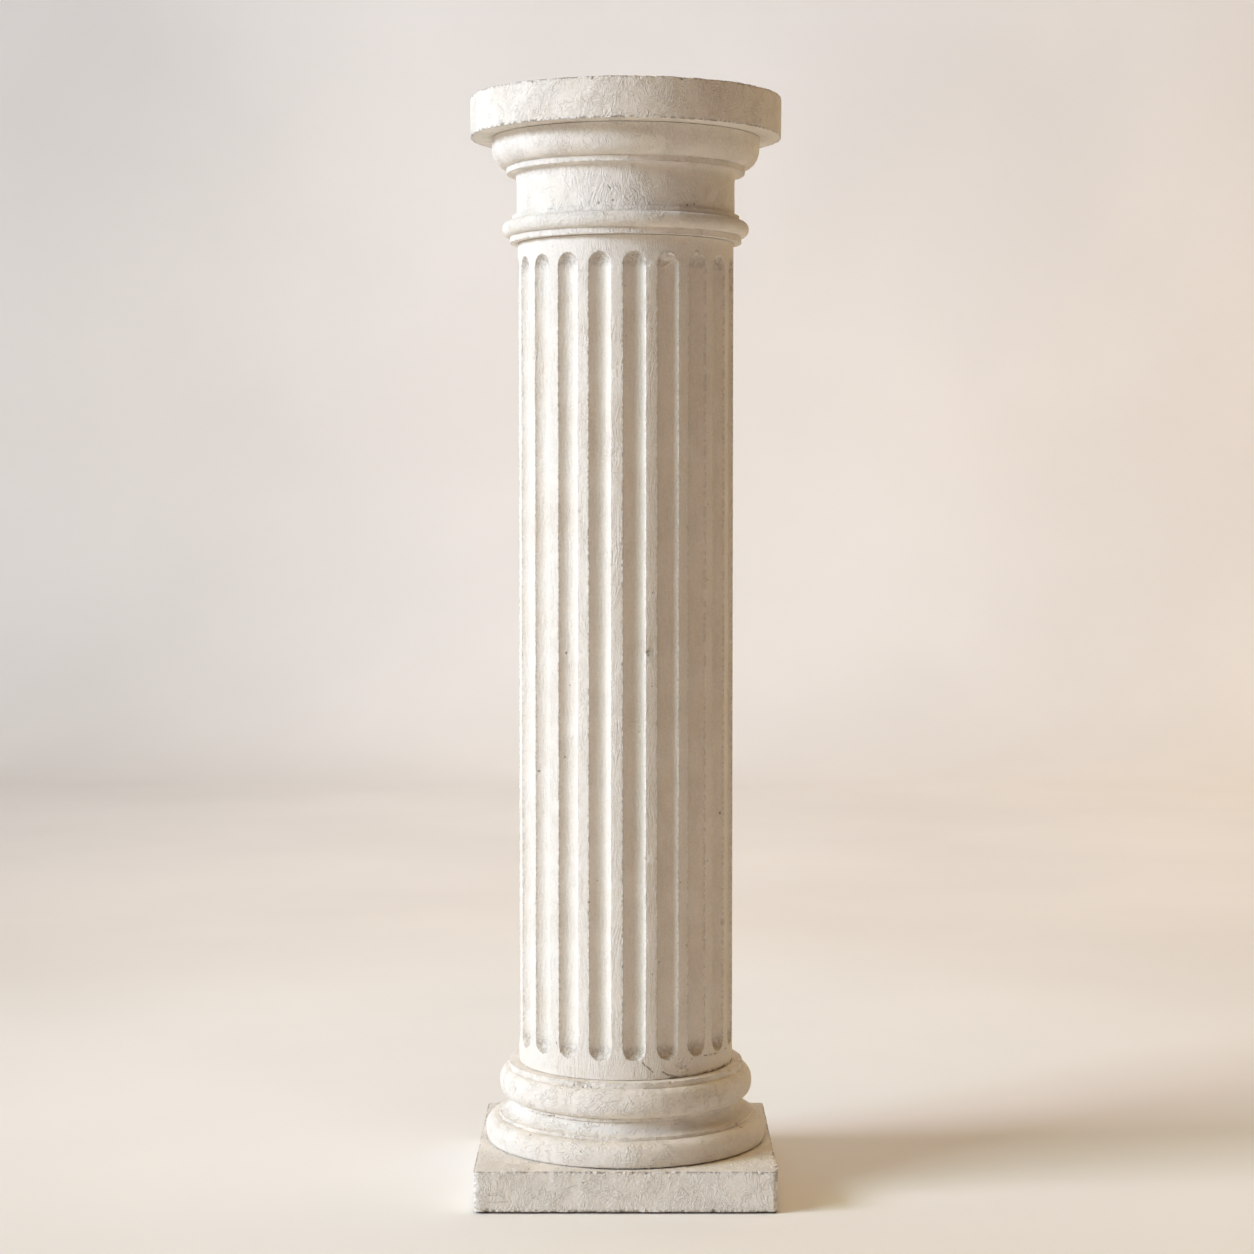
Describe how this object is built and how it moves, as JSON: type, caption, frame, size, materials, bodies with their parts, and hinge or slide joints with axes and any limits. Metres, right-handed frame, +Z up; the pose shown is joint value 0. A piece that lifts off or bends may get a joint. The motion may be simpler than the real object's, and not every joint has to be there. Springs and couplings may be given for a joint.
{
  "type": "prop column",
  "caption": "Fluted display column of painted plaster on a square plinth, with a turned base, a moulded capital and a round slab on top.",
  "frame": {"origin": "centre of the plinth's underside, on the floor", "axes": "+Z up the column's axis, -Y towards the front that the picture shows, +X to its right"},
  "size_m": [0.288, 0.288, 1.0067],
  "materials": {
    "plinth": "matte painted plaster, trowelled, with crumbled edges",
    "base_mouldings": "matte painted plaster, brushed, with pits and cracks",
    "shaft": "matte painted plaster, brushed along the flutes, with worn edges",
    "capital": "matte painted plaster, brushed, with a few pits",
    "abacus": "matte painted plaster, trowelled, with crumbled edges"
  },
  "bodies": {
    "root": {"plinth": "plinth", "base_mouldings": "base_mouldings", "shaft": "shaft", "capital": "capital", "abacus": "abacus"}
  },
  "joints": []
}
